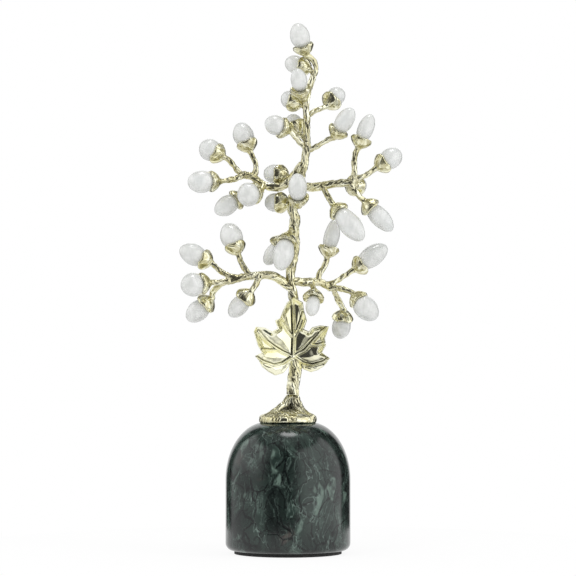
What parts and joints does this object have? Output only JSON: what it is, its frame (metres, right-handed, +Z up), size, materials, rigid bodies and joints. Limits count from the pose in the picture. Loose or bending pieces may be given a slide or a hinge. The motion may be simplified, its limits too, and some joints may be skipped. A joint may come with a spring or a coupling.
{
  "type": "gemstone tree ornament",
  "caption": "Table ornament: a cast gold-coloured vine trunk with limbs, a lobed leaf and calyx cups holding polished white stones, standing on a domed green marble base.",
  "frame": {"origin": "middle of the foot pad's underside", "axes": "+Z up along the base's axis, -Y towards the viewer on the leaf's side, +X to the viewer's right"},
  "size_m": [0.1789, 0.1, 0.4241],
  "materials": {
    "green_marble": "polished dark green marble with paler veins",
    "black_pad": "matt black",
    "fastener_steel": "zinc-coated",
    "plated_metal": "bright pale gold plating over a bark-textured casting",
    "white_stone": "polished translucent white quartz or jade"
  },
  "bodies": {
    "root": {"marble_base": "green_marble", "foot_pad": "black_pad", "tie_stud": "fastener_steel", "stud_washer": "fastener_steel", "stud_nut": "fastener_steel", "root_foot": "plated_metal", "lower_trunk": "plated_metal", "upper_trunk": "plated_metal", "vine_leaf": "plated_metal", "lower_left_limb": "plated_metal", "lower_right_limb": "plated_metal", "middle_left_limb": "plated_metal", "middle_right_limb": "plated_metal", "crown_back_twig": "plated_metal", "crown_front_twig": "plated_metal", "crown_left_twig": "plated_metal", "upper_right_twig": "plated_metal", "fork_right_twig": "plated_metal", "fork_left_twig": "plated_metal", "fork_back_twig": "plated_metal", "collar_left_twig": "plated_metal", "collar_front_twig": "plated_metal", "waist_front_twig": "plated_metal", "waist_back_twig": "plated_metal", "crown_stone": "white_stone", "lower_left_stone_1": "white_stone", "lower_left_stone_2": "white_stone", "lower_left_stone_3": "white_stone", "lower_left_stone_4": "white_stone", "lower_left_stone_5": "white_stone", "lower_right_stone_1": "white_stone", "lower_right_stone_2": "white_stone", "lower_right_stone_3": "white_stone", "lower_right_stone_4": "white_stone", "lower_right_stone_5": "white_stone", "middle_left_stone_1": "white_stone", "middle_left_stone_2": "white_stone", "middle_left_stone_3": "white_stone", "middle_left_stone_4": "white_stone", "middle_left_stone_5": "white_stone", "middle_left_stone_6": "white_stone", "middle_right_stone_1": "white_stone", "middle_right_stone_2": "white_stone", "middle_right_stone_3": "white_stone", "middle_right_stone_4": "white_stone", "middle_right_stone_5": "white_stone", "crown_back_stone": "white_stone", "crown_front_stone": "white_stone", "crown_left_stone": "white_stone", "upper_right_stone": "white_stone", "fork_right_stone": "white_stone", "fork_left_stone": "white_stone", "fork_back_stone": "white_stone", "collar_left_stone": "white_stone", "collar_front_stone": "white_stone", "waist_front_stone": "white_stone", "waist_back_stone": "white_stone"}
  },
  "joints": []
}
